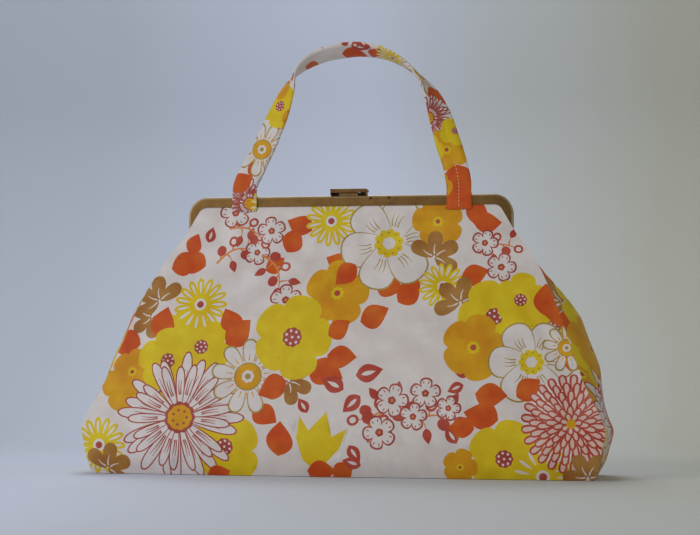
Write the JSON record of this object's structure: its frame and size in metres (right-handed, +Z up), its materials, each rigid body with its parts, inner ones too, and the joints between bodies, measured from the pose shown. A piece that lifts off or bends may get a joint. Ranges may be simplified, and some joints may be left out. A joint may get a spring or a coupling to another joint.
{
  "type": "handbag",
  "caption": "Cloth handbag with a hinged metal frame, a lifting tab clasp, deep side gussets and one cloth handle.",
  "frame": {"origin": "middle of the base, on the surface that the bag stands on", "axes": "+X along the bag's width, to the right as seen from the front; -Y towards the front; +Z up"},
  "size_m": [0.388, 0.1172, 0.3127],
  "materials": {
    "printed_cloth": "smooth woven cotton with a large floral print, on a backing",
    "yellow_ink": "yellow fields of the print",
    "gold_ink": "golden fields of the print",
    "orange_ink": "orange leaves of the print",
    "brick_ink": "brick-red petals and berries of the print",
    "tan_ink": "tan petals of the print",
    "lining_cloth": "plain woven lining, slight sheen",
    "board": "grey-brown board",
    "old_brass": "aged satin brass, worn lighter on the edges",
    "plain_steel": "plain drawn steel"
  },
  "bodies": {
    "bag": {"front_panel": "printed_cloth", "back_panel": "printed_cloth", "left_gusset": "printed_cloth", "right_gusset": "printed_cloth", "base_panel": "printed_cloth", "base_board": "board", "lining": "lining_cloth", "left_hinge_rivet": "old_brass", "right_hinge_rivet": "old_brass", "front_yellow_print": "yellow_ink", "front_gold_print": "gold_ink", "front_orange_print": "orange_ink", "front_brick_print": "brick_ink", "front_tan_print": "tan_ink", "back_yellow_print": "yellow_ink", "back_gold_print": "gold_ink", "back_orange_print": "orange_ink", "back_brick_print": "brick_ink", "back_tan_print": "tan_ink"},
    "front_frame": {"front_frame": "old_brass", "front_hem": "printed_cloth", "front_clamp_strip": "plain_steel", "clasp_keeper": "old_brass", "left_strap_end": "printed_cloth", "right_strap_end": "printed_cloth"},
    "rear_frame": {"rear_frame": "old_brass", "rear_hem": "printed_cloth", "rear_clamp_strip": "plain_steel", "clasp_bracket": "old_brass", "clasp_pin": "plain_steel", "clasp_spring": "plain_steel"},
    "clasp_tab": {"clasp_tab": "old_brass"},
    "handle": {"handle_strap": "printed_cloth"}
  },
  "joints": [
    {"name": "front_open", "type": "hinge", "parent": "bag", "child": "front_frame", "pos_m": [0, 0, 0.168], "axis": [1, 0, 0], "range_deg": [0, 50]},
    {"name": "rear_open", "type": "hinge", "parent": "bag", "child": "rear_frame", "pos_m": [0, 0, 0.168], "axis": [1, 0, 0], "range_deg": [-50, 0]},
    {"name": "clasp_lift", "type": "hinge", "parent": "rear_frame", "child": "clasp_tab", "pos_m": [0, 0.0039, 0.2042], "axis": [-1, 0, 0], "range_deg": [0, 60], "stiffness_Nm_per_rad": 0.02},
    {"name": "handle_swing", "type": "hinge", "parent": "front_frame", "child": "handle", "pos_m": [0, -0.0068, 0.2046], "axis": [1, 0, 0], "range_deg": [-85, 110]}
  ],
  "couplings": [
    {"joint": "rear_open", "follows": "front_open", "ratio": -1}
  ]
}
